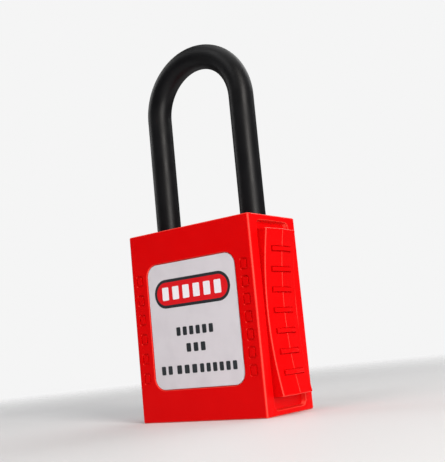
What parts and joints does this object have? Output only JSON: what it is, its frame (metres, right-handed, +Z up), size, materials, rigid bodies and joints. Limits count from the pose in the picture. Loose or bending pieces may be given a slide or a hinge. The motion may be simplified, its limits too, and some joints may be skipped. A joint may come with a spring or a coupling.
{
  "type": "safety padlock",
  "caption": "Lockout safety padlock with a moulded plastic case, side grip pads, a label on each face and a long insulated shackle held by two locking balls.",
  "frame": {"origin": "middle of the underside, which the padlock stands on", "axes": "+Z up towards the shackle, -Y towards the front face, +X towards the toe leg"},
  "size_m": [0.0422, 0.019, 0.091],
  "materials": {
    "case_nylon": "satin moulded red nylon",
    "cover_nylon": "satin moulded red nylon",
    "label_film": "printed film with a satin face",
    "shackle_nylon": "satin black nylon",
    "core_casting": "die cast",
    "cam_casting": "die cast",
    "screw_steel": "turned and plated",
    "plug_brass": "turned brass",
    "pin_brass": "turned brass",
    "driver_steel": "turned",
    "spring_steel": "drawn wire",
    "ball_steel": "polished"
  },
  "bodies": {
    "body": {"case": "case_nylon", "bottom_cover": "cover_nylon", "front_label": "label_film", "back_label": "label_film", "lock_core": "core_casting", "core_screw": "screw_steel", "chamber_cover": "plug_brass", "driver_pin_1": "driver_steel", "driver_pin_2": "driver_steel", "driver_pin_3": "driver_steel", "driver_pin_4": "driver_steel", "driver_pin_5": "driver_steel", "driver_pin_6": "driver_steel", "pin_spring_1": "spring_steel", "pin_spring_2": "spring_steel", "pin_spring_3": "spring_steel", "pin_spring_4": "spring_steel", "pin_spring_5": "spring_steel", "pin_spring_6": "spring_steel"},
    "shackle": {"shackle": "shackle_nylon"},
    "plug": {"plug": "plug_brass", "plug_clip": "spring_steel", "cam": "cam_casting", "key_pin_1": "pin_brass", "key_pin_2": "pin_brass", "key_pin_3": "pin_brass", "key_pin_4": "pin_brass", "key_pin_5": "pin_brass", "key_pin_6": "pin_brass"},
    "toe_ball": {"toe_ball": "ball_steel"},
    "heel_ball": {"heel_ball": "ball_steel"}
  },
  "joints": [
    {"name": "shackle_lift", "type": "slide", "parent": "body", "child": "shackle", "axis": [0, 0, 1], "range_m": [0, 0.015]},
    {"name": "plug_turn", "type": "hinge", "parent": "body", "child": "plug", "pos_m": [0, 0, 0.013], "axis": [0, 0, 1], "range_deg": [-90, 0]},
    {"name": "toe_ball_slide", "type": "slide", "parent": "body", "child": "toe_ball", "axis": [1, 0, 0], "range_m": [0, 0.0019]},
    {"name": "heel_ball_slide", "type": "slide", "parent": "body", "child": "heel_ball", "axis": [-1, 0, 0], "range_m": [0, 0.0012]}
  ],
  "couplings": [
    {"joint": "toe_ball_slide", "follows": "plug_turn", "m_per_rad": -0.0012096},
    {"joint": "heel_ball_slide", "follows": "plug_turn", "m_per_rad": -0.00076394}
  ]
}
